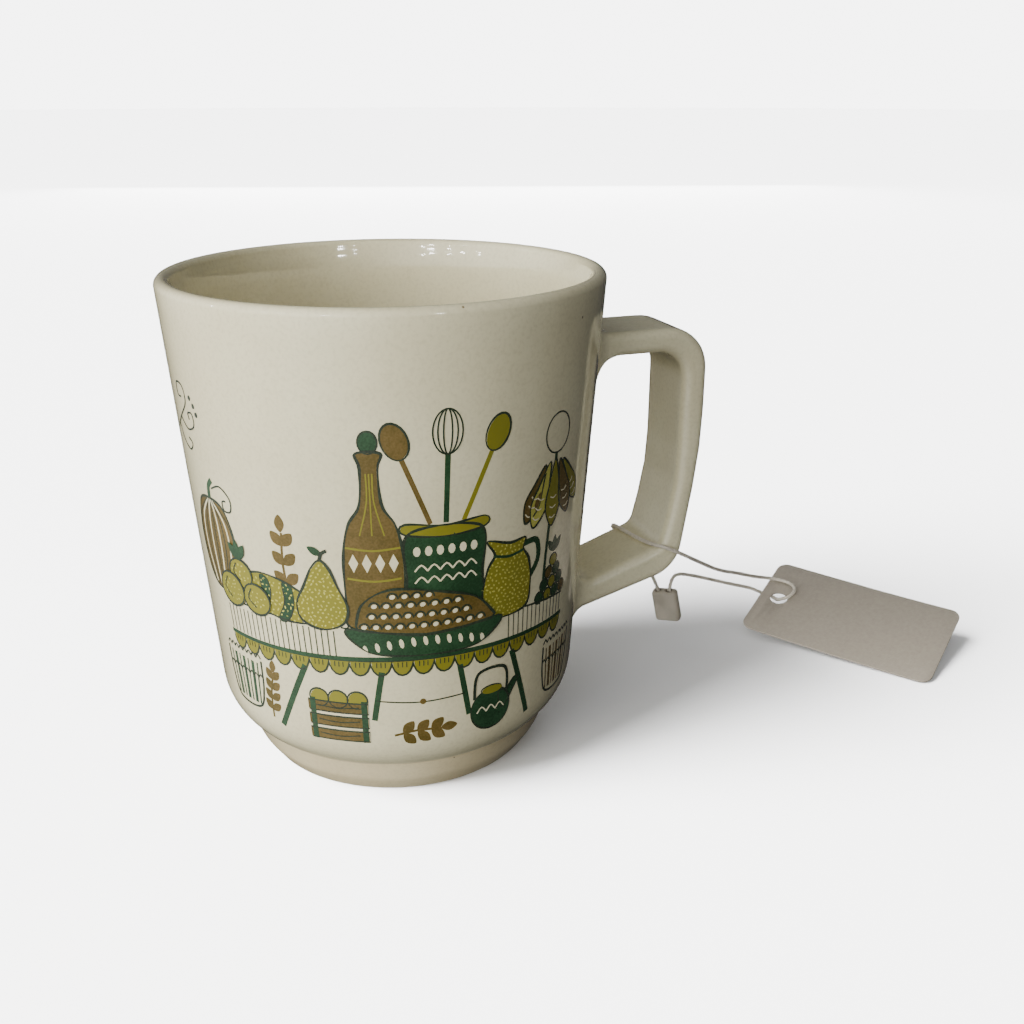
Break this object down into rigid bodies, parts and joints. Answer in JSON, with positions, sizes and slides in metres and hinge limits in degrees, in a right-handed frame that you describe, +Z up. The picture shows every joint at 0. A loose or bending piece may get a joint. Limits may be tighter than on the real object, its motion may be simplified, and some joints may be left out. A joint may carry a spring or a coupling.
{
  "type": "ceramic mug",
  "caption": "Tapered ceramic mug with a squared strap handle, rolled lip and stepped foot, and a blank swing tag tied round the handle by a thin sealed string.",
  "frame": {"origin": "middle of the foot ring's contact plane, on the mug's axis", "axes": "+Z up along the mug's axis, +X towards the handle, -Y the side that shows the main motif"},
  "size_m": [0.1699, 0.08, 0.0922],
  "materials": {
    "body_glaze": "warm cream glaze, glossy, on a fired earthenware body",
    "handle_glaze": "the same cream glaze, satin on the grip",
    "seam_glaze": "glazed slip bead",
    "cotton_string": "two-ply twisted cotton string, matt, undyed",
    "tag_card": "plain uncoated card, blank",
    "seal_plastic": "moulded plastic seal, satin, grey beige",
    "plug_plastic": "moulded plastic plug, satin, grey beige"
  },
  "bodies": {
    "mug": {"mug_body": "body_glaze", "handle": "handle_glaze", "upper_slip_seam": "seam_glaze", "lower_slip_seam": "seam_glaze", "tag_string": "cotton_string"},
    "card": {"swing_card": "tag_card"},
    "seal": {"seal_housing": "seal_plastic", "seal_plug": "plug_plastic"}
  },
  "joints": [
    {"name": "card_turn", "type": "hinge", "parent": "mug", "child": "card", "pos_m": [0.09684, 0.01192, 0.00622], "axis": [-0.1948, -0.2214, 0.9555], "range_deg": [0, 25]},
    {"name": "seal_swing", "type": "hinge", "parent": "mug", "child": "seal", "pos_m": [0.06374, 0.00812, 0.01501], "axis": [0.7114, -0.6913, 0.1266], "range_deg": [-25, 12]}
  ]
}
